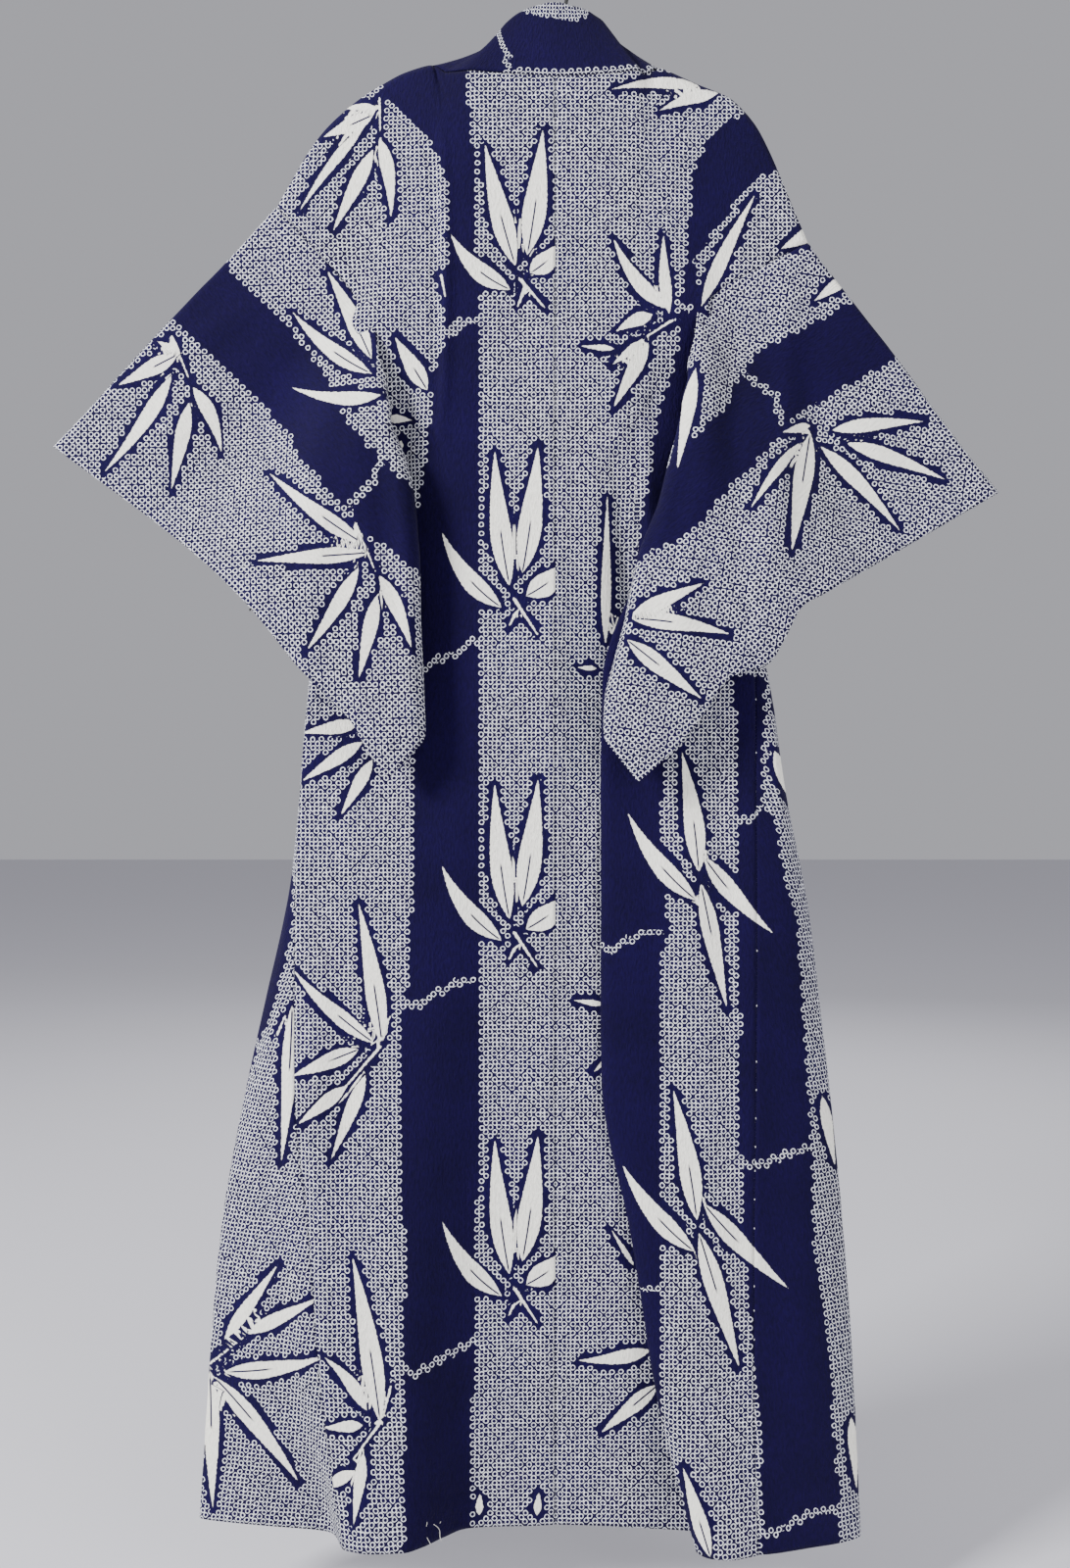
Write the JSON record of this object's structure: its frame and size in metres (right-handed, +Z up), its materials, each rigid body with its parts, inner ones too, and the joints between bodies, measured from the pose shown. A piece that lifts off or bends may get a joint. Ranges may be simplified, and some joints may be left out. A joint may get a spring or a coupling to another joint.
{
  "type": "yukata robe on a coat hanger",
  "caption": "Cotton yukata robe with kimono sleeves, collar band and front overlaps, hung from a plain hanger by its hook.",
  "frame": {"origin": "highest point inside the hanger's hook, on the wire, where a rail touches it", "axes": "+Z up, the robe's back faces -Y, its fronts face +Y, the wearer's left is -X"},
  "size_m": [0.968, 0.114, 1.6222],
  "materials": {
    "dotted_cotton": "matt crepe cotton, indigo with pale rings",
    "indigo_cotton": "matt crepe cotton, indigo with pale rings and navy bands",
    "navy_cotton": "matt crepe cotton, navy",
    "black_plastic": "moulded, satin",
    "steel_wire": "wire, dark lacquer"
  },
  "bodies": {
    "root": {"body_left": "dotted_cotton", "body_right": "dotted_cotton", "sleeve_left": "indigo_cotton", "sleeve_right": "indigo_cotton", "overlap_left": "indigo_cotton", "overlap_right": "indigo_cotton", "collar": "navy_cotton", "hanger_bar": "black_plastic", "hanger_hook": "steel_wire"}
  },
  "joints": []
}
